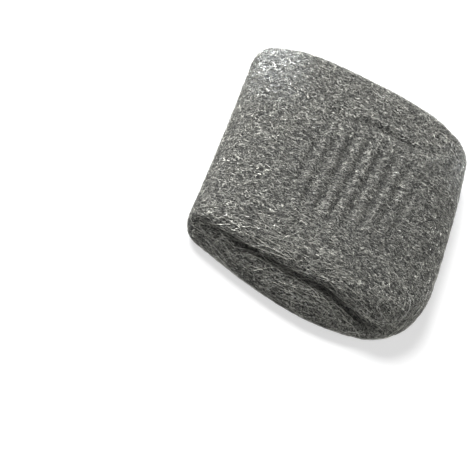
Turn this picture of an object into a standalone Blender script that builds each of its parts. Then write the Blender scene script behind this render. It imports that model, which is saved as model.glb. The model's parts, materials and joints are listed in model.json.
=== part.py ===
"""A steel wool hand pad: a web of fine steel wire, rolled up and pressed flat.

The wires run along X and turn back at the two folded sides. The roll's axis is Y, so its two
open ends face -Y (near) and +Y (far). The pad lies on its flat underside at z = 0, with the
origin under the middle of its box. All sizes are in metres.

Run it with: blender --background --python part.py
"""

import math

import bmesh
import bpy

# Plan of the pad, measured at its fullest line, the waist
NEAR_WIDTH = 0.0835  # between the folded sides, at the near end
FAR_WIDTH = 0.0795  # between the folded sides, at the far end
BODY_LENGTH = 0.0875  # between the two ends, along the folded sides
UPPER_LIP_BULGE = 0.0065  # how far the near end's upper lip swells out past its corners
LOWER_LIP_BULGE = 0.0135  # how far the thick roll under it does
LIPS_CLOSING_START = 0.10  # the upper lip starts to come down over the lower one here, and
LIPS_CLOSING_END = 0.95  # covers it here, in half widths to the right of the middle
LIP_BULGE_SHIFT = 0.008  # both swell most this far to the right of the middle
FAR_BULGE = 0.0083  # how far the far end swells out past its corners
FAR_END_SLANT = -0.058  # how much farther it lies for each metre to the right
SIDE_LEAN = 0.055  # metres that the pad shifts to -X for each metre along +Y
LEFT_SIDE_HOLLOW = 0.0006  # how far the left side is pressed in at its middle
RIGHT_SIDE_SWELL = 0.0010  # how far the right side swells out at its middle
NEAR_LEFT_CORNER = 0.003
NEAR_RIGHT_CORNER = 0.016
FAR_LEFT_CORNER = 0.003
FAR_RIGHT_CORNER = 0.003

# Heights above the surface that the pad lies on
WAIST_HEIGHT = 0.0080
NEAR_FURROW_HEIGHT = 0.0120  # the furrow between the near end's two lips
CLOSED_FURROW_HEIGHT = 0.0035  # the same furrow at the right, where the lips have closed
SIDE_HEIGHT = 0.0135  # top of the wool where it turns into a folded side
CROWN_HEIGHT = 0.0205  # top of the wool at the middle of the pad

# The rounded rims
SIDE_ROUNDING = 0.0050  # how far in from a folded side its rounding starts
NEAR_LIP_ROUNDING = 0.0045
NEAR_FURROW_DEPTH = 0.0030  # how far in from the upper lip the furrow goes
FAR_LIP_ROUNDING = 0.0095
FAR_FURROW_DEPTH = 0.0015

# Crimps: grooves pressed across the wires, nearly parallel to the folded sides
CRIMP_PITCH = 0.0051
CRIMP_DEPTH = 0.0011
CRIMP_SHARPNESS = 1.7  # 1 is a plain wave, and more makes the grooves narrower
CRIMP_COUNT = 8
FIRST_CRIMP_X = -0.0119
DEEPEST_CRIMP_X = 0.004
CRIMP_SPREAD = 0.023  # from the deepest crimp to the faintest ones on each side
FAINTEST_CRIMP = 0.60  # depth of the faintest crimp, as a share of the deepest one's
CRIMP_REACH = 0.028  # half the length of the deepest crimp
CRIMP_FADE_START = 0.5  # where a crimp starts to fade out, as a share of its half length
CRIMP_MIDDLE_Y = -0.0044
CRIMP_LEAN = 0.105  # metres that a crimp shifts to +X for each metre along +Y

# The edge of the roll's outer turn: a furrow along the top near the far end, and the low ridge
# behind it
TURN_EDGE_X = 0.0110
TURN_EDGE_Y = 0.0242
TURN_EDGE_HALF_LENGTH = 0.0140
TURN_EDGE_FADE_START = 0.6  # where it starts to fade out, as a share of its half length
TURN_EDGE_HALF_WIDTH = 0.0012
TURN_EDGE_DEPTH = 0.0012
TURN_RIDGE_STEP = 0.0028  # from the furrow to the ridge
TURN_RIDGE_HEIGHT = 0.0008

# Steps of the mesh
STEPS_PER_CRIMP = 5
PLAIN_STEP = 0.0035
LENGTH_STEP = 0.0050
TURN_EDGE_STEP = 0.0014
TURN_EDGE_FINE_START = -0.0040  # the finer steps start and end this far from the furrow
TURN_EDGE_FINE_END = 0.0120
SIDE_STEPS = 5
LIP_STEPS = 6

STEEL_WOOL_COLOUR = (0.20, 0.20, 0.19, 1.0)


def smooth_step(low, high, value):
    """0 below low, 1 above high, and a smooth curve between."""
    share = min(1.0, max(0.0, (value - low) / (high - low)))
    return share * share * (3.0 - 2.0 * share)


def steps_between(low, high, step):
    """Evenly spaced values from low to high, high left out, about a step apart."""
    count = max(1, math.ceil((high - low) / step))
    return [low + (high - low) * i / count for i in range(count)]


def width_at(along):
    """The pad's width where along is -1 at the near end and 1 at the far end."""
    return NEAR_WIDTH + (FAR_WIDTH - NEAR_WIDTH) * (1.0 + along) / 2.0


def corner_drop(across, radius):
    """How far a corner of this radius pulls an end in, where across is 1 at the side."""
    reach = radius / (NEAR_WIDTH / 2.0)
    beyond = max(0.0, (across - (1.0 - reach)) / reach)
    return radius * (1.0 - math.sqrt(max(0.0, 1.0 - beyond * beyond)))


def lips_closed(across):
    """How far the near end's upper lip has come down over the lower one, from 0 to 1."""
    return smooth_step(LIPS_CLOSING_START, LIPS_CLOSING_END, across)


def near_end_y(across, bulge):
    """A near lip's y, where across runs from -1 at the left side to 1 at the right."""
    shift = LIP_BULGE_SHIFT / (NEAR_WIDTH / 2.0)
    skewed = across - shift * (1.0 - across * across)
    radius = NEAR_RIGHT_CORNER if across > 0.0 else NEAR_LEFT_CORNER
    swell = bulge * (1.0 - skewed * skewed)
    return -BODY_LENGTH / 2.0 - swell + corner_drop(abs(across), radius)


def far_end_y(across):
    """The far end's y."""
    radius = FAR_RIGHT_CORNER if across > 0.0 else FAR_LEFT_CORNER
    swell = FAR_BULGE * (1.0 - abs(across) ** 3)
    slanted = FAR_END_SLANT * across * NEAR_WIDTH / 2.0
    return BODY_LENGTH / 2.0 + swell + slanted - corner_drop(abs(across), radius)


def side_x(across, along):
    """The x of a point, with the lean of the pad and the shape of its two sides."""
    middle = 1.0 - along * along
    pressed = LEFT_SIDE_HOLLOW * middle if across < 0.0 else RIGHT_SIDE_SWELL * middle
    return across * width_at(along) / 2.0 + pressed * abs(across) ** 3


def crimp_depth(x, y):
    """The depth of the crimps at a point of the pad without its lean."""
    beside = x - CRIMP_LEAN * (y - CRIMP_MIDDLE_Y)
    number = round((beside - FIRST_CRIMP_X) / CRIMP_PITCH)
    if number < 0 or number >= CRIMP_COUNT:
        return 0.0
    crimp_x = FIRST_CRIMP_X + CRIMP_PITCH * number
    wave = 0.5 + 0.5 * math.cos(2.0 * math.pi * (beside - crimp_x) / CRIMP_PITCH)
    aside = abs(crimp_x - DEEPEST_CRIMP_X) / CRIMP_SPREAD
    strength = 1.0 - (1.0 - FAINTEST_CRIMP) * smooth_step(0.0, 1.0, aside)
    reach = CRIMP_REACH * (1.0 + strength) / 2.0
    fade = 1.0 - smooth_step(CRIMP_FADE_START, 1.0, abs(y - CRIMP_MIDDLE_Y) / reach)
    return CRIMP_DEPTH * strength * wave ** CRIMP_SHARPNESS * fade


def turn_edge_depth(x, y):
    """The depth of the furrow along the edge of the outer turn, less the ridge behind it."""
    in_furrow = (y - TURN_EDGE_Y) / TURN_EDGE_HALF_WIDTH
    on_ridge = (y - TURN_EDGE_Y - TURN_RIDGE_STEP) / TURN_EDGE_HALF_WIDTH
    depth = TURN_EDGE_DEPTH * math.exp(-in_furrow * in_furrow)
    depth -= TURN_RIDGE_HEIGHT * math.exp(-on_ridge * on_ridge)
    along_edge = abs(x - TURN_EDGE_X) / TURN_EDGE_HALF_LENGTH
    return depth * (1.0 - smooth_step(TURN_EDGE_FADE_START, 1.0, along_edge))


def top_height(across, along):
    """The height of the top face, before it rounds down to its rims."""
    dome = (1.0 - abs(across) ** 3) * (1.0 - along * along) ** 0.5
    return SIDE_HEIGHT + (CROWN_HEIGHT - SIDE_HEIGHT) * dome


def across_stations():
    """Pairs (across, fullness) from the left side to the right. Fullness is 0 at a side."""
    half = NEAR_WIDTH / 2.0
    flat = half - SIDE_ROUNDING
    band_start = max(FIRST_CRIMP_X - CRIMP_PITCH / 2.0, PLAIN_STEP - flat)
    band_end = min(FIRST_CRIMP_X + CRIMP_PITCH * (CRIMP_COUNT - 0.5), flat - PLAIN_STEP)
    places = steps_between(-flat, band_start, PLAIN_STEP)
    places += steps_between(band_start, band_end, CRIMP_PITCH / STEPS_PER_CRIMP)
    places += steps_between(band_end, flat, PLAIN_STEP) + [flat]
    rim = []
    for i in range(1, SIDE_STEPS + 1):
        angle = math.pi / 2.0 * i / SIDE_STEPS
        rim.append((flat + SIDE_ROUNDING * math.sin(angle), math.cos(angle)))
    rim[-1] = (half, 0.0)
    left = [(-x, fullness) for x, fullness in reversed(rim)]
    stations = left + [(x, 1.0) for x in places] + rim
    return [(x / half, fullness) for x, fullness in stations]


def along_stations():
    """Pairs (along, turn) from the near end to the far end.

    Between the lips, along runs from -1 to 1 and turn is 0. Round a lip and into its furrow,
    turn runs from 0 to -pi at the near end, and to pi at the far end."""
    half = BODY_LENGTH / 2.0
    fine_start = max(LENGTH_STEP - half, TURN_EDGE_Y + TURN_EDGE_FINE_START)
    fine_end = min(half - LENGTH_STEP, TURN_EDGE_Y + TURN_EDGE_FINE_END)
    places = steps_between(-half, fine_start, LENGTH_STEP)
    places += steps_between(fine_start, fine_end, TURN_EDGE_STEP)
    places += steps_between(fine_end, half, LENGTH_STEP) + [half]
    face = [(y / half, 0.0) for y in places]
    turns = [math.pi * i / LIP_STEPS for i in range(1, LIP_STEPS + 1)]
    near = [(-1.0, -turn) for turn in reversed(turns)]
    far = [(1.0, turn) for turn in turns]
    return near + face + far


def inset(turn, rounding, furrow_depth):
    """How far in from its end's line a point lies that has turned so far round the lip."""
    if turn <= math.pi / 2.0:
        return rounding * (1.0 - math.sin(turn))
    return furrow_depth * (1.0 - math.sin(turn))


def pad_point(across, fullness, along, turn, is_top):
    """A point of the pad's skin, on its top or on its underside."""
    closed = lips_closed(across)
    upper_bulge = UPPER_LIP_BULGE + (LOWER_LIP_BULGE - UPPER_LIP_BULGE) * closed
    upper_y = near_end_y(across, upper_bulge)
    near_y = upper_y if is_top else near_end_y(across, LOWER_LIP_BULGE)
    far_y = far_end_y(across)
    turned = abs(turn)
    if turn < 0.0:
        furrow = upper_y + NEAR_FURROW_DEPTH * fullness * (1.0 - closed) - near_y
        y = near_y + inset(turned, NEAR_LIP_ROUNDING, furrow)
    elif turn > 0.0:
        y = far_y - inset(turned, FAR_LIP_ROUNDING, FAR_FURROW_DEPTH * fullness)
    else:
        face_start = near_y + NEAR_LIP_ROUNDING
        face_end = far_y - FAR_LIP_ROUNDING
        y = face_start + (face_end - face_start) * (1.0 + along) / 2.0
    half_length = BODY_LENGTH / 2.0
    x = side_x(across, max(-1.0, min(1.0, y / half_length)))
    waist = WAIST_HEIGHT
    if turn < 0.0:
        furrow_height = NEAR_FURROW_HEIGHT + (CLOSED_FURROW_HEIGHT - NEAR_FURROW_HEIGHT) * closed
        waist += (furrow_height - WAIST_HEIGHT) * fullness * math.sin(turned / 2.0)
    full = fullness * (1.0 + math.cos(turned)) / 2.0
    if is_top:
        height = top_height(across, max(-1.0, min(1.0, y / (half_length + LOWER_LIP_BULGE))))
        height -= crimp_depth(x, y) + turn_edge_depth(x, y)
        z = waist + (height - waist) * full
    else:
        z = waist * (1.0 - full)
    return (x - SIDE_LEAN * y, y, z)


def skin_panel(bm, is_top):
    """One half of the pad's skin, as a grid whose points are moved to their places."""
    columns = across_stations()
    rows = along_stations()
    grid = bmesh.ops.create_grid(
        bm, x_segments=len(columns) - 1, y_segments=len(rows) - 1, size=1.0
    )
    for vert in grid["verts"]:
        column = round((vert.co.x + 1.0) / 2.0 * (len(columns) - 1))
        row = round((vert.co.y + 1.0) / 2.0 * (len(rows) - 1))
        across, fullness = columns[column]
        along, turn = rows[row]
        vert.co = pad_point(across, fullness, along, turn, is_top)
    if not is_top:
        faces = {face for vert in grid["verts"] for face in vert.link_faces}
        bmesh.ops.reverse_faces(bm, faces=list(faces))


def steel_wool_material():
    material = bpy.data.materials.new("steel_wool")
    material.use_nodes = True
    shader = material.node_tree.nodes["Principled BSDF"]
    shader.inputs["Base Color"].default_value = STEEL_WOOL_COLOUR
    shader.inputs["Metallic"].default_value = 0.7
    shader.inputs["Roughness"].default_value = 0.55
    return material


def centre_on_floor(bm):
    """Moves the pad so that the origin is under the middle of its box."""
    xs = [vert.co.x for vert in bm.verts]
    ys = [vert.co.y for vert in bm.verts]
    middle = ((min(xs) + max(xs)) / 2.0, (min(ys) + max(ys)) / 2.0, 0.0)
    bmesh.ops.translate(bm, verts=bm.verts, vec=[-value for value in middle])


def steel_wool_pad():
    """The whole pad: its top and its underside, joined all round the waist."""
    bm = bmesh.new()
    skin_panel(bm, is_top=True)
    skin_panel(bm, is_top=False)
    bmesh.ops.remove_doubles(bm, verts=bm.verts, dist=0.00001)
    bmesh.ops.recalc_face_normals(bm, faces=bm.faces)
    centre_on_floor(bm)
    mesh = bpy.data.meshes.new("steel_wool_pad")
    bm.to_mesh(mesh)
    bm.free()
    mesh.shade_smooth()
    mesh.materials.append(steel_wool_material())
    pad = bpy.data.objects.new("steel_wool_pad", mesh)
    bpy.context.scene.collection.objects.link(pad)
    return pad


for old in list(bpy.data.objects):
    bpy.data.objects.remove(old)
steel_wool_pad()
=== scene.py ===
import json
import math

import bpy
import numpy as np
from mathutils import Matrix, Vector, noise
from mathutils.bvhtree import BVHTree

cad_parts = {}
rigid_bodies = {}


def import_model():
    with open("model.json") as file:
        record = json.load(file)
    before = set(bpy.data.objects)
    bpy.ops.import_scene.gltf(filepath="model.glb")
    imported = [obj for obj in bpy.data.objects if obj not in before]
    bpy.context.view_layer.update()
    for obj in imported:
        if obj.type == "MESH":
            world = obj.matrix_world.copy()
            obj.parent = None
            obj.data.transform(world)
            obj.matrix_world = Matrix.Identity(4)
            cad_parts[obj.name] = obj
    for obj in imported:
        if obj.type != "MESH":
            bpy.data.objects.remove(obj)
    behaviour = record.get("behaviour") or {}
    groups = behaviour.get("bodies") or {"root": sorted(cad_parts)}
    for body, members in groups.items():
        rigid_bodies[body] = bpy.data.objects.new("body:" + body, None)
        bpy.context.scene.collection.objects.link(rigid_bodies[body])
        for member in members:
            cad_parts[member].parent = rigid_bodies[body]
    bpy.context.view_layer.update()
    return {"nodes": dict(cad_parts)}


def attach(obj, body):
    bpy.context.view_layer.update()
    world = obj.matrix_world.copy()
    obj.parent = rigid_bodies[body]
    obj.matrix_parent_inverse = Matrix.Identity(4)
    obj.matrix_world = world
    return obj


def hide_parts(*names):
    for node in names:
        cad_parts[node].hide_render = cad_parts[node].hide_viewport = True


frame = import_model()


# The body of the pad: the felted wool under the loose top wires, rolled up and pressed flat.
# It is one web of steel wires, held together by nothing but their tangle, and its surface has
# crimps across the wires and shallow furrows along them.
WIRE_LAYER = 0.0003  # how deep the body lies under the skin, to leave room for the loose wires
BODY_GRAIN = 0.0006  # size of the body's faces
MERGE_REACH = 0.00001
SMOOTHING = 0.5  # share of the way to its neighbours that a point moves in a round
BODY_ROUNDS = 6
CORNER_ROUNDS = 60
CORNER_START = Vector((0.030, 0.030))  # the soft far corners begin here, on each side
CORNER_FULL = 0.006  # and this far in from there they are wholly soft
TURN_EDGE_START = Vector((-0.006, 0.0275))  # the left end of the outer turn's edge
TURN_EDGE_REACH = 0.005
TURN_EDGE_SOFTNESS = 0.2
FURROW_SIZE = np.array((0.020, 0.0016, 0.0016))
FURROW_DEPTH = 0.00018
LUMP_SIZE = 0.0065
LUMP_HEIGHT = 0.00008
SWEEP_START_X = 0.005  # the wires sweep round the near right corner from here on
SWEEP_BEND = 9.0
SWEEP_FADE = 0.020
HOLLOW_ROUNDS = 40
DEEP_HOLLOW = 0.0005
GRAIN_LAYERS = ((0.05, 1800.0), (-0.45, 2200.0), (0.6, 2600.0))  # angle, and wires per metre
GRAIN_STRETCH = (0.12, 1.0, 1.0)
GRAIN_DEPTH = 0.00025
SWAY_SCALE = 110.0
SWAY_WIDTH = (0.005, 0.005, 0.005)
# painted shade: near black, it stands for the shade deep in the gaps between the fine packed
# wires
PAINTED_GAP_SHADE = (0.006, 0.006, 0.006, 1.0)
PACKED_COLOUR = (0.50, 0.50, 0.455, 1.0)


def deselect_all():
    for other in bpy.context.scene.objects:
        other.select_set(False)


def apply_modifier(piece, kind, **settings):
    modifier = piece.modifiers.new(kind.title(), kind)
    for setting, value in settings.items():
        setattr(modifier, setting, value)
    bpy.context.view_layer.objects.active = piece
    bpy.ops.object.modifier_apply(modifier=modifier.name)


def positions_of(piece):
    places = np.empty(len(piece.data.vertices) * 3)
    piece.data.vertices.foreach_get("co", places)
    return places.reshape(-1, 3)


def normals_of(piece):
    normals = np.empty(len(piece.data.vertices) * 3)
    piece.data.vertices.foreach_get("normal", normals)
    return normals.reshape(-1, 3)


def model_body():
    deselect_all()
    solid = frame["nodes"]["steel_wool_pad"]
    mesh = bpy.data.meshes.new_from_object(solid)
    mesh.transform(solid.matrix_world)
    body = bpy.data.objects.new("wool_body", mesh)
    bpy.context.scene.collection.objects.link(body)
    body.select_set(True)
    bpy.context.view_layer.objects.active = body
    bpy.ops.object.mode_set(mode="EDIT")
    bpy.ops.mesh.select_all(action="SELECT")
    bpy.ops.mesh.remove_doubles(threshold=MERGE_REACH)
    bpy.ops.object.mode_set(mode="OBJECT")
    apply_modifier(body, "REMESH", mode="VOXEL", voxel_size=BODY_GRAIN, use_smooth_shade=True)
    apply_modifier(body, "SMOOTH", factor=SMOOTHING, iterations=BODY_ROUNDS)
    soften_far_corners(body)
    apply_modifier(body, "DISPLACE", strength=-WIRE_LAYER, mid_level=0.0)
    furrow(body)
    return body


def soften_far_corners(body):
    """Evens out the folds of the two far corners, and a little the edge of the outer turn."""
    soft_parts = body.vertex_groups.new(name="far_corners")
    for vertex in body.data.vertices:
        place = vertex.co
        in_corner = max(abs(place.x) - CORNER_START.x, 0.0) * max(place.y - CORNER_START.y, 0.0)
        softness = min(1.0, in_corner / CORNER_FULL ** 2)
        if place.x > TURN_EDGE_START.x and abs(place.y - TURN_EDGE_START.y) < TURN_EDGE_REACH:
            softness = max(softness, TURN_EDGE_SOFTNESS)
        soft_parts.add([vertex.index], softness, "REPLACE")
    apply_modifier(
        body, "SMOOTH", factor=SMOOTHING, iterations=CORNER_ROUNDS, vertex_group="far_corners"
    )


def furrow(body):
    """Raises and sinks the skin in furrows along the wires, and in shallow lumps."""
    places = positions_of(body)
    beyond = np.maximum(0.0, places[:, 0] - SWEEP_START_X)
    combed = places.copy()
    combed[:, 1] += SWEEP_BEND * beyond ** 2 * np.clip(-places[:, 1] / SWEEP_FADE, 0.0, 1.0)
    rises = [
        FURROW_DEPTH * noise.noise(Vector(comb / FURROW_SIZE))
        + LUMP_HEIGHT * noise.noise(Vector(place / LUMP_SIZE))
        for place, comb in zip(places, combed)
    ]
    places += normals_of(body) * np.array(rises)[:, None]
    body.data.vertices.foreach_set("co", places.ravel())


def depth_in_hollows(body):
    """How far each point of the body lies in a groove, as a share of a deep one."""
    evened = body.copy()
    evened.data = body.data.copy()
    bpy.context.scene.collection.objects.link(evened)
    apply_modifier(evened, "SMOOTH", factor=SMOOTHING, iterations=HOLLOW_ROUNDS)
    depth = np.sum((positions_of(evened) - positions_of(body)) * normals_of(body), axis=1)
    bpy.data.objects.remove(evened)
    return np.clip(depth / DEEP_HOLLOW, -1.0, 1.0)


def wire_grain_group():
    """Fine wires lying side by side at one angle: their height, from 0 in the gaps to 1."""
    group = bpy.data.node_groups.new("wire_grain", "ShaderNodeTree")
    sockets = group.interface
    sockets.new_socket("Place", in_out="INPUT", socket_type="NodeSocketVector")
    sockets.new_socket("Angle", in_out="INPUT", socket_type="NodeSocketFloat")
    sockets.new_socket("Wires per Metre", in_out="INPUT", socket_type="NodeSocketFloat")
    sockets.new_socket("Height", in_out="OUTPUT", socket_type="NodeSocketFloat")
    nodes, links = group.nodes, group.links
    given = nodes.new("NodeGroupInput")
    made = nodes.new("NodeGroupOutput")
    rotated = nodes.new("ShaderNodeVectorRotate")
    rotated.rotation_type = "Z_AXIS"
    stretched = nodes.new("ShaderNodeVectorMath")
    stretched.operation = "MULTIPLY"
    stretched.inputs[1].default_value = GRAIN_STRETCH
    wires = nodes.new("ShaderNodeTexNoise")
    wires.inputs["Detail"].default_value = 2.0
    wires.inputs["Roughness"].default_value = 0.6
    # The noise is folded up and down, so that it makes ridges.
    wide = nodes.new("ShaderNodeMath")
    wide.operation = "MULTIPLY"
    wide.inputs[1].default_value = 2.0
    ridge = nodes.new("ShaderNodeMath")
    ridge.operation = "PINGPONG"
    ridge.inputs[1].default_value = 0.5
    doubled = nodes.new("ShaderNodeMath")
    doubled.operation = "MULTIPLY"
    doubled.inputs[1].default_value = 2.0
    links.new(given.outputs["Place"], rotated.inputs["Vector"])
    links.new(given.outputs["Angle"], rotated.inputs["Angle"])
    links.new(rotated.outputs["Vector"], stretched.inputs[0])
    links.new(stretched.outputs["Vector"], wires.inputs["Vector"])
    links.new(given.outputs["Wires per Metre"], wires.inputs["Scale"])
    links.new(wires.outputs["Fac"], wide.inputs[0])
    links.new(wide.outputs["Value"], ridge.inputs[0])
    links.new(ridge.outputs["Value"], doubled.inputs[0])
    links.new(doubled.outputs["Value"], made.inputs["Height"])
    return group


def painted_groove_shade_group():
    """Painted shade: a colour made darker down in the grooves, where less light reaches, and
    painted light that makes it a little lighter on the ridges between them.
    """
    group = bpy.data.node_groups.new("painted_groove_shade", "ShaderNodeTree")
    sockets = group.interface
    sockets.new_socket("Colour", in_out="INPUT", socket_type="NodeSocketColor")
    sockets.new_socket("Hollow", in_out="INPUT", socket_type="NodeSocketFloat")
    sockets.new_socket("Shaded", in_out="OUTPUT", socket_type="NodeSocketColor")
    nodes, links = group.nodes, group.links
    given = nodes.new("NodeGroupInput")
    made = nodes.new("NodeGroupOutput")
    # painted shade and light: the colour is scaled down in the hollows and up on the ridges
    light = nodes.new("ShaderNodeMapRange")
    light.inputs["From Min"].default_value = -0.2
    light.inputs["From Max"].default_value = 0.8
    light.inputs["To Min"].default_value = 1.12
    light.inputs["To Max"].default_value = 0.62
    scaled = nodes.new("ShaderNodeVectorMath")
    scaled.operation = "SCALE"
    links.new(given.outputs["Hollow"], light.inputs["Value"])
    links.new(given.outputs["Colour"], scaled.inputs[0])
    links.new(light.outputs["Result"], scaled.inputs["Scale"])
    links.new(scaled.outputs["Vector"], made.inputs["Shaded"])
    return group


def shaded_by_hollows(nodes, links, colour):
    """The colour with the painted shade in the grooves and the painted light on the ridges, from
    the hollows of the piece's skin.
    """
    hollow = nodes.new("ShaderNodeAttribute")
    hollow.attribute_name = "hollow"
    shade = nodes.new("ShaderNodeGroup")
    shade.node_tree = painted_groove_shade
    links.new(colour, shade.inputs["Colour"])
    links.new(hollow.outputs["Fac"], shade.inputs["Hollow"])
    return shade.outputs["Shaded"]


def packed_wires_material():
    material = bpy.data.materials.new("packed_wires")
    material.use_nodes = True
    nodes, links = material.node_tree.nodes, material.node_tree.links
    shader = nodes["Principled BSDF"]
    place = nodes.new("ShaderNodeTexCoord")
    sway = nodes.new("ShaderNodeTexNoise")
    sway.inputs["Scale"].default_value = SWAY_SCALE
    sway.inputs["Detail"].default_value = 2.0
    swayed = nodes.new("ShaderNodeVectorMath")
    swayed.operation = "MULTIPLY_ADD"
    swayed.inputs[1].default_value = SWAY_WIDTH
    links.new(place.outputs["Object"], sway.inputs["Vector"])
    links.new(sway.outputs["Color"], swayed.inputs[0])
    links.new(place.outputs["Object"], swayed.inputs[2])
    grain = wire_grain_group()
    height = None
    for angle, density in GRAIN_LAYERS:
        wires = nodes.new("ShaderNodeGroup")
        wires.node_tree = grain
        wires.inputs["Angle"].default_value = angle
        wires.inputs["Wires per Metre"].default_value = density
        links.new(swayed.outputs["Vector"], wires.inputs["Place"])
        if height is None:
            height = wires.outputs["Height"]
            continue
        highest = nodes.new("ShaderNodeMath")
        highest.operation = "MAXIMUM"
        links.new(height, highest.inputs[0])
        links.new(wires.outputs["Height"], highest.inputs[1])
        height = highest.outputs["Value"]
    # The grain's ridges take the steel's colour, and its gaps painted shade, near black.
    tone = nodes.new("ShaderNodeValToRGB")
    tone.color_ramp.elements[0].position = 0.50
    tone.color_ramp.elements[0].color = PAINTED_GAP_SHADE
    tone.color_ramp.elements[1].position = 0.97
    tone.color_ramp.elements[1].color = PACKED_COLOUR
    bump = nodes.new("ShaderNodeBump")
    bump.inputs["Strength"].default_value = 1.0
    bump.inputs["Distance"].default_value = GRAIN_DEPTH
    links.new(height, tone.inputs["Fac"])
    links.new(height, bump.inputs["Height"])
    # painted shade in the body's grooves, and painted light on its ridges
    shaded = shaded_by_hollows(nodes, links, tone.outputs["Color"])
    links.new(shaded, shader.inputs["Base Color"])
    links.new(bump.outputs["Normal"], shader.inputs["Normal"])
    shader.inputs["Metallic"].default_value = 0.5
    shader.inputs["Roughness"].default_value = 0.6
    return material


# the group that paints shade into the grooves and light onto the ridges, for both materials
painted_groove_shade = painted_groove_shade_group()
body = model_body()
# how deep each point lies in a groove; the materials paint shade and light by it
hollows = depth_in_hollows(body)
body.data.attributes.new("hollow", "FLOAT", "POINT").data.foreach_set("value", hollows)
body.data.materials.clear()
body.data.materials.append(packed_wires_material())
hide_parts("steel_wool_pad")
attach(body, "root")


# The loose wires on the pad's skin: shaved steel ribbons a few hundredths of a millimetre
# thick, bunched into strands that run across the pad and round its folded sides, with curly
# ones felted in at all angles.
WIRE_SIDES = 3
PIECE_FACES = 199000  # triangles of a piece with a full share of wires
CELL_MARGIN = 0.08  # room round each wire in its cell of the piece's map
UNDERSIDE_NORMAL = -0.8  # faces whose normal points down more than this are the underside
UNDERSIDE_SHARE = 0.12
NEAR_END_START = 0.032  # how far from the middle the wires of the near end alone begin
NEAR_END_FULL = 0.046
SWEEP_START_Y = -0.012
SWEEP_REACH = 0.035
SWEEP_ANGLE = -0.55
CRIMPS_MIDDLE = (0.004, -0.001)
CRIMPS_REACH = (0.024, 0.026)
CRIMPS_EDGE = (1.25, 0.95)  # where the crimps have gone, and are whole, in shares of their reach
CRIMPS_LOWEST = 0.012
CRIMPED_SHORTENING = 0.2
CRIMPED_LOWERING = 0.5
FAR_TANGLE = 1.2
TANGLE_START = -0.010
TANGLE_FULL = 0.030
WAVE_HEIGHT = 0.0001
WAVE_STEP = 2.1  # radians of its wave from one station of a wire to the next
MOST_TWIST = 1.6
LOWEST_WIRE = 0.00005
SHORTEST = 1e-12  # keeps the length of a vector from being nought
WIRE_TONES = ((0.0, 0.01), (0.45, 0.13), (0.80, 0.50), (1.0, 1.0))  # share of wires, and grey
BLUE_OF_STEEL = 0.91  # blue in the steel's colour, to 1 of red and green


def unit(vectors):
    lengths = np.linalg.norm(vectors, axis=-1, keepdims=True)
    return vectors / np.maximum(lengths, SHORTEST)


def dot(first, second):
    return np.sum(first * second, axis=-1, keepdims=True)


def turned(heading, normal, angle):
    """The headings turned about the normals."""
    return heading * np.cos(angle)[:, None] + np.cross(normal, heading) * np.sin(angle)[:, None]


def ramp(low, high, value):
    """0 at low and 1 at high, with a soft start and end."""
    share = np.clip((value - low) / (high - low), 0.0, 1.0)
    return share * share * (3.0 - 2.0 * share)


def crimped(place):
    """1 in the middle of the crimped part of the top face, and 0 outside it."""
    aside_x = (place[:, 0] - CRIMPS_MIDDLE[0]) / CRIMPS_REACH[0]
    aside_y = (place[:, 1] - CRIMPS_MIDDLE[1]) / CRIMPS_REACH[1]
    return ramp(*CRIMPS_EDGE, np.hypot(aside_x, aside_y)) * (place[:, 2] > CRIMPS_LOWEST)


def tangle(place):
    """How much the wires stray from their lie: most on the far left, least near the right."""
    return 1.0 + FAR_TANGLE * ramp(TANGLE_START, TANGLE_FULL, place[:, 1] - place[:, 0])


def lie_of_wires(place, normal):
    """The way the wires lie: across the pad, and swept round its near right corner."""
    across = np.stack([normal[:, 2], np.zeros(len(normal)), -normal[:, 0]], axis=1)
    across *= np.where(across[:, :1] < 0.0, -1.0, 1.0)
    flat = np.array([1.0, 0.0, 0.0]) - normal * normal[:, :1]
    heading = unit(across + flat * np.abs(normal[:, 1:2]))
    sweep = ramp(SWEEP_START_X, SWEEP_START_X + SWEEP_REACH, place[:, 0])
    sweep *= ramp(-SWEEP_START_Y, -SWEEP_START_Y + SWEEP_REACH, -place[:, 1])
    return turned(heading, normal, SWEEP_ANGLE * sweep)


def model_wire(stations):
    """One straight wire, standing on its tip, a unit thick and a unit for each station."""
    deselect_all()
    bpy.ops.mesh.primitive_circle_add(vertices=WIRE_SIDES, radius=1.0, location=(0.0, 0.0, 1.0))
    wire = bpy.context.object
    bpy.ops.object.transform_apply(location=True)
    bpy.ops.object.mode_set(mode="EDIT")
    bpy.ops.mesh.select_all(action="SELECT")
    for station in range(stations - 1):
        bpy.ops.mesh.extrude_region_move(TRANSFORM_OT_translate={"value": (0.0, 0.0, 1.0)})
    bpy.ops.mesh.merge(type="CENTER")
    bpy.ops.object.mode_set(mode="OBJECT")
    for vertex in wire.data.vertices:
        vertex.select = vertex.co.z < 1.5  # the first ring, which is at 1
    bpy.ops.object.mode_set(mode="EDIT")
    bpy.ops.mesh.select_mode(type="VERT")
    bpy.ops.mesh.extrude_region_move(TRANSFORM_OT_translate={"value": (0.0, 0.0, -1.0)})
    bpy.ops.mesh.merge(type="CENTER")
    bpy.ops.mesh.select_all(action="SELECT")
    bpy.ops.mesh.normals_make_consistent(inside=False)
    bpy.ops.object.mode_set(mode="OBJECT")
    return wire


def sides_round(spot):
    """How far round the wire a place is, counted in sides from its first corner."""
    angle = math.atan2(spot.y, spot.x) - math.pi / 2.0
    return angle % (2.0 * math.pi) / (2.0 * math.pi / WIRE_SIDES)


def map_of_wire(wire, stations):
    """For each face corner of one wire, a place on a square where no two faces overlap."""
    places = []
    for face in wire.data.polygons:
        side = int(sides_round(face.center))
        for corner in face.vertices:
            spot = wire.data.vertices[corner].co
            at_tip = spot.xy.length < 0.5
            around = 0.5 if at_tip else (round(sides_round(spot)) - side) % WIRE_SIDES
            places.append((spot.z / stations, (side + around) / WIRE_SIDES))
    return np.array(places)


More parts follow.
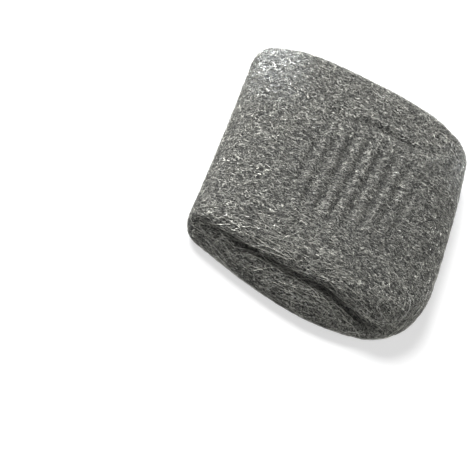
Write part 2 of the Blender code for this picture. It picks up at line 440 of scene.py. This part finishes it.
face_hollows = np.array([
    np.mean(hollows[list(face.vertices)]) for face in body.data.polygons
])
skin = BVHTree.FromPolygons(
    [vertex.co for vertex in body.data.vertices],
    [face.vertices for face in body.data.polygons],
)


def on_skin(places):
    """The nearest points of the body's surface, its normals there, and how hollow it is."""
    found = [skin.find_nearest(Vector(place)) for place in places]
    spots, normals, faces = (np.array([hit[part] for hit in found]) for part in range(3))
    return spots, normals, face_hollows[faces]


def seed_places(rng, count, near_only):
    """Random places on the skin, evenly spread, with fewer of them under the pad."""
    faces = body.data.polygons
    areas = np.empty(len(faces))
    normals = np.empty(len(faces) * 3)
    centres = np.empty(len(faces) * 3)
    faces.foreach_get("area", areas)
    faces.foreach_get("normal", normals)
    faces.foreach_get("center", centres)
    underside = normals.reshape(-1, 3)[:, 2] < UNDERSIDE_NORMAL
    weights = areas * np.where(underside, UNDERSIDE_SHARE, 1.0)
    if near_only:
        weights *= ramp(NEAR_END_START, NEAR_END_FULL, -centres.reshape(-1, 3)[:, 1])
    chosen = rng.choice(len(faces), size=count, p=weights / weights.sum())
    jitter = rng.uniform(-0.5, 0.5, (count, 3)) * BODY_GRAIN
    return centres.reshape(-1, 3)[chosen] + jitter


def walk_on_skin(rng, seeds, stations, steps, heights, stray, curl):
    """The path of each wire over the skin, with the skin's normals and hollows on the way."""
    count = len(seeds)
    place, normal, depth = on_skin(seeds)
    steps = steps * (1.0 - CRIMPED_SHORTENING * crimped(place))
    heights = heights * (1.0 - CRIMPED_LOWERING * crimped(place))
    strays = rng.normal(0.0, 1.0, count) * (stray * tangle(place))
    heading = turned(lie_of_wires(place, normal), normal, strays)
    phase = rng.uniform(0.0, 2.0 * math.pi, count)
    turn = rng.normal(0.0, curl, count)
    path = []
    normals = []
    depths = []
    for station in range(stations + 1):
        lift = heights + WAVE_HEIGHT * np.sin(phase + station * WAVE_STEP)
        path.append(place + normal * lift[:, None])
        normals.append(normal)
        depths.append(depth)
        heading = turned(heading, normal, turn + rng.normal(0.0, curl, count))
        place, normal, depth = on_skin(place + heading * steps[:, None])
        heading = unit(heading - normal * dot(heading, normal))
    return np.stack(path, axis=1), np.stack(normals, axis=1), np.stack(depths, axis=1)


def bend_wires(rng, shape, station, path, normals, radii):
    """The points of every wire: one straight wire's, bent along each path and twisted on it."""
    count, stops = path.shape[:2]
    before = path[:, np.maximum(np.arange(stops) - 1, 0)]
    after = path[:, np.minimum(np.arange(stops) + 1, stops - 1)]
    tangent = unit(after - before)
    side = unit(np.cross(tangent, normals))
    up = np.cross(side, tangent)
    first_twist = rng.uniform(0.0, 2.0 * math.pi, (count, 1))
    twist = first_twist + station * rng.uniform(-MOST_TWIST, MOST_TWIST, (count, 1))
    x = (shape[:, 0] * np.cos(twist) - shape[:, 1] * np.sin(twist)) * radii[:, None]
    y = (shape[:, 0] * np.sin(twist) + shape[:, 1] * np.cos(twist)) * radii[:, None]
    points = path[:, station] + side[:, station] * x[..., None] + up[:, station] * y[..., None]
    points[..., 2] = np.maximum(points[..., 2], LOWEST_WIRE)
    return points


def join_wires(name, points, wire_faces, wire_map, tones, depths):
    """One mesh of all the wires, each with a tone and a cell of the piece's map to itself."""
    count, size = points.shape[:2]
    faces = [
        [corner + copy * size for corner in face]
        for copy in range(count)
        for face in wire_faces
    ]
    mesh = bpy.data.meshes.new(name)
    mesh.from_pydata(points.reshape(-1, 3), [], faces)
    cells = math.ceil(math.sqrt(count))
    cell = np.stack(np.divmod(np.arange(count), cells), axis=1)[:, None]
    map_places = (cell + CELL_MARGIN + (1.0 - 2.0 * CELL_MARGIN) * wire_map) / cells
    mesh.uv_layers.new(name="OFBake").data.foreach_set("uv", map_places.ravel())
    tone = mesh.attributes.new("tone", "FLOAT", "POINT")
    tone.data.foreach_set("value", np.repeat(tones, size))
    hollow = mesh.attributes.new("hollow", "FLOAT", "POINT")
    hollow.data.foreach_set("value", depths.ravel())
    wires = bpy.data.objects.new(name, mesh)
    bpy.context.scene.collection.objects.link(wires)
    return wires


def bright_wires_material():
    material = bpy.data.materials.new("bright_wires")
    material.use_nodes = True
    nodes, links = material.node_tree.nodes, material.node_tree.links
    shader = nodes["Principled BSDF"]
    tone = nodes.new("ShaderNodeAttribute")
    tone.attribute_name = "tone"
    colour = nodes.new("ShaderNodeValToRGB")
    stops = colour.color_ramp.elements
    while len(stops) < len(WIRE_TONES):
        stops.new(0.5)
    for stop, (position, grey) in zip(stops, WIRE_TONES):
        stop.position = position
        stop.color = (grey, grey, BLUE_OF_STEEL * grey, 1.0)
    polish = nodes.new("ShaderNodeMapRange")
    polish.inputs["From Min"].default_value = 0.6
    polish.inputs["To Min"].default_value = 0.50
    polish.inputs["To Max"].default_value = 0.42
    links.new(tone.outputs["Fac"], colour.inputs["Fac"])
    links.new(tone.outputs["Fac"], polish.inputs["Value"])
    # painted shade on the wires in the grooves, and painted light on those on the ridges
    shaded = shaded_by_hollows(nodes, links, colour.outputs["Color"])
    links.new(shaded, shader.inputs["Base Color"])
    links.new(polish.outputs["Result"], shader.inputs["Roughness"])
    shader.inputs["Metallic"].default_value = 0.85
    return material


bright_wires = bright_wires_material()


def lay_wires(
    name, seed, stations, step, height, stray, curl,
    radius=(0.00002, 0.00004), share=1.0, near_only=False,
):
    """Lays copies of one wire on the skin, all in one piece."""
    rng = np.random.default_rng(seed)
    wire = model_wire(stations)
    wire_shape = positions_of(wire)
    wire_faces = [list(face.vertices) for face in wire.data.polygons]
    wire_map = map_of_wire(wire, stations)
    bpy.data.objects.remove(wire)
    triangles = sum(len(face) - 2 for face in wire_faces)
    count = int(PIECE_FACES * share / triangles)
    steps = rng.uniform(*step, count)
    radii = rng.uniform(*radius, count)
    heights = rng.uniform(*height, count)
    seeds = seed_places(rng, count, near_only)
    path, normals, depths = walk_on_skin(rng, seeds, stations, steps, heights, stray, curl)
    station = np.round(wire_shape[:, 2]).astype(int)
    points = bend_wires(rng, wire_shape, station, path, normals, radii)
    tones = rng.uniform(0.0, 1.0, count)
    wires = join_wires(name, points, wire_faces, wire_map, tones, depths[:, station])
    wires.data.materials.append(bright_wires)
    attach(wires, "root")


# Strands that lie side by side across the pad.
lay_wires(
    "laid_wires", seed=1, stations=3, step=(0.0005, 0.0009), height=(-0.0001, 0.0002),
    stray=0.45, curl=0.10, share=0.85,
)
# Looser strands on top of those.
lay_wires(
    "outer_wires", seed=2, stations=2, step=(0.0004, 0.0009), height=(0.0, 0.0003),
    stray=0.55, curl=0.15,
)
# Wires felted in at all angles.
lay_wires(
    "felted_wires", seed=3, stations=2, step=(0.0003, 0.0007), height=(0.0, 0.0003),
    stray=0.9, curl=0.20,
)
# Short broken ends between the strands.
lay_wires(
    "short_wires", seed=4, stations=2, step=(0.0003, 0.0005), height=(0.0, 0.0003),
    stray=0.5, curl=0.20,
)
# Curly loose wires that stand a little off the skin.
lay_wires(
    "stray_wires", seed=6, stations=6, step=(0.0005, 0.0009), height=(0.0002, 0.0005),
    stray=0.7, curl=0.18, radius=(0.00002, 0.000035), share=0.15,
)
# Long straight wires, on the near end alone.
lay_wires(
    "long_wires", seed=5, stations=12, step=(0.0008, 0.0013), height=(0.0, 0.0003),
    stray=0.20, curl=0.04, share=0.25, near_only=True,
)


# The floor and the studio round it: a plain pale sheet under the pad, wide enough to fill the
# view, in a pale room. Seen directly, and mirrored in the steel, both are brighter than the
# light that they cast on the pad.
FLOOR_SIZE = 12.0
FLOOR_COLOUR = (0.45, 0.45, 0.45, 1.0)
FLOOR_GLOW = 0.63
ROOM_LIGHT = 0.16
ROOM_SEEN = 0.7
WHITE = (1.0, 1.0, 1.0, 1.0)


def seen_directly(nodes, links):
    """1 where a ray comes from the camera, a mirroring face or glass, and 0 elsewhere."""
    ray = nodes.new("ShaderNodeLightPath")
    seen = ray.outputs["Is Camera Ray"]
    for way in ("Is Glossy Ray", "Is Transmission Ray"):
        either = nodes.new("ShaderNodeMath")
        either.operation = "MAXIMUM"
        links.new(seen, either.inputs[0])
        links.new(ray.outputs[way], either.inputs[1])
        seen = either.outputs["Value"]
    return seen


def make_floor():
    deselect_all()
    bpy.ops.mesh.primitive_plane_add(size=FLOOR_SIZE)
    floor = bpy.context.object
    floor.name = "floor"
    material = bpy.data.materials.new("pale_floor")
    material.use_nodes = True
    nodes, links = material.node_tree.nodes, material.node_tree.links
    shader = nodes["Principled BSDF"]
    shader.inputs["Base Color"].default_value = FLOOR_COLOUR
    shader.inputs["Roughness"].default_value = 0.9
    shader.inputs["Specular IOR Level"].default_value = 0.0
    glow = nodes.new("ShaderNodeMath")
    glow.operation = "MULTIPLY"
    glow.inputs[1].default_value = FLOOR_GLOW
    links.new(seen_directly(nodes, links), glow.inputs[0])
    links.new(glow.outputs["Value"], shader.inputs["Emission Strength"])
    shader.inputs["Emission Color"].default_value = WHITE
    floor.data.materials.append(material)


def make_room():
    room = bpy.data.worlds.new("studio")
    bpy.context.scene.world = room
    room.use_nodes = True
    nodes, links = room.node_tree.nodes, room.node_tree.links
    background = nodes["Background"]
    background.inputs["Color"].default_value = WHITE
    strength = nodes.new("ShaderNodeMapRange")
    strength.inputs["To Min"].default_value = ROOM_LIGHT
    strength.inputs["To Max"].default_value = ROOM_SEEN
    links.new(seen_directly(nodes, links), strength.inputs["Value"])
    links.new(strength.outputs["Result"], background.inputs["Strength"])


make_floor()
make_room()


# The lights: a wide soft one above and behind the pad on the left, a faint one low on the
# right, and two narrow ones that give the far corners their pale glare.
PAD_MIDDLE = Vector((0.0, -0.0003, 0.010))
LIT_LEFT_CORNER = Vector((-0.0365, 0.0430, 0.0145))
LIT_RIGHT_CORNER = Vector((0.0390, 0.0350, 0.0090))
CORNER_BEAM = math.radians(0.85)
CORNER_LAMP_RADIUS = 0.01
GLARE_COLOUR = (0.86, 0.92, 1.0)


def place_light(name, lamp, place, aim, power):
    lamp.energy = power
    light = bpy.data.objects.new(name, lamp)
    light.location = place
    light.rotation_euler = (aim - Vector(place)).to_track_quat("-Z", "Y").to_euler()
    bpy.context.scene.collection.objects.link(light)


def make_soft_light(name, place, size, power):
    lamp = bpy.data.lights.new(name, "AREA")
    lamp.shape = "DISK"
    lamp.size = size
    place_light(name, lamp, place, PAD_MIDDLE, power)


def make_corner_light(name, place, aim, power):
    lamp = bpy.data.lights.new(name, "SPOT")
    lamp.spot_size = CORNER_BEAM
    lamp.spot_blend = 1.0
    lamp.shadow_soft_size = CORNER_LAMP_RADIUS
    lamp.color = GLARE_COLOUR
    place_light(name, lamp, place, aim, power)


make_soft_light("key", place=(-0.68, 0.66, 1.0), size=1.1, power=53.0)
make_soft_light("right_rim", place=(1.0, 0.3, 0.06), size=0.3, power=4.0)
make_corner_light("far_left_glare", (-0.45, 0.85, 0.40), LIT_LEFT_CORNER, power=300.0)
make_corner_light("far_right_glare", (0.75, 0.75, 0.25), LIT_RIGHT_CORNER, power=120.0)


# The camera: it looks down on the pad from the front and is rolled to the side, so that the
# pad stands on the picture's slant.
VIEW_AZIMUTH = math.radians(-0.25)
VIEW_ELEVATION = math.radians(42.38)
VIEW_ROLL = math.radians(24.98)
VIEW_DISTANCE = 2.0
PICTURE_WIDTH = 470.0  # in pixels, as are the two below
PIXELS_PER_METRE = 3044.0
PAD_MIDDLE_PIXEL = (334.07, 191.06)
SENSOR_WIDTH = 36.0


def make_camera():
    back = Vector((
        math.sin(VIEW_AZIMUTH) * math.cos(VIEW_ELEVATION),
        -math.cos(VIEW_AZIMUTH) * math.cos(VIEW_ELEVATION),
        math.sin(VIEW_ELEVATION),
    ))
    level = Vector((math.cos(VIEW_AZIMUTH), math.sin(VIEW_AZIMUTH), 0.0))
    upright = back.cross(level)
    right = level * math.cos(VIEW_ROLL) + upright * math.sin(VIEW_ROLL)
    up = upright * math.cos(VIEW_ROLL) - level * math.sin(VIEW_ROLL)
    lens = bpy.data.cameras.new("camera")
    lens.sensor_width = SENSOR_WIDTH
    lens.lens = SENSOR_WIDTH * PIXELS_PER_METRE * VIEW_DISTANCE / PICTURE_WIDTH
    lens.clip_start = 0.1
    lens.clip_end = 20.0
    camera = bpy.data.objects.new("camera", lens)
    aside = (PAD_MIDDLE_PIXEL[0] - PICTURE_WIDTH / 2.0) / PIXELS_PER_METRE
    below = (PAD_MIDDLE_PIXEL[1] - PICTURE_WIDTH / 2.0) / PIXELS_PER_METRE
    place = PAD_MIDDLE + back * VIEW_DISTANCE - right * aside + up * below
    turn = Matrix((right, up, back)).transposed().to_4x4()
    camera.matrix_world = Matrix.Translation(place) @ turn
    bpy.context.scene.collection.objects.link(camera)
    bpy.context.scene.camera = camera


make_camera()
bpy.context.scene.view_settings.view_transform = "Standard"
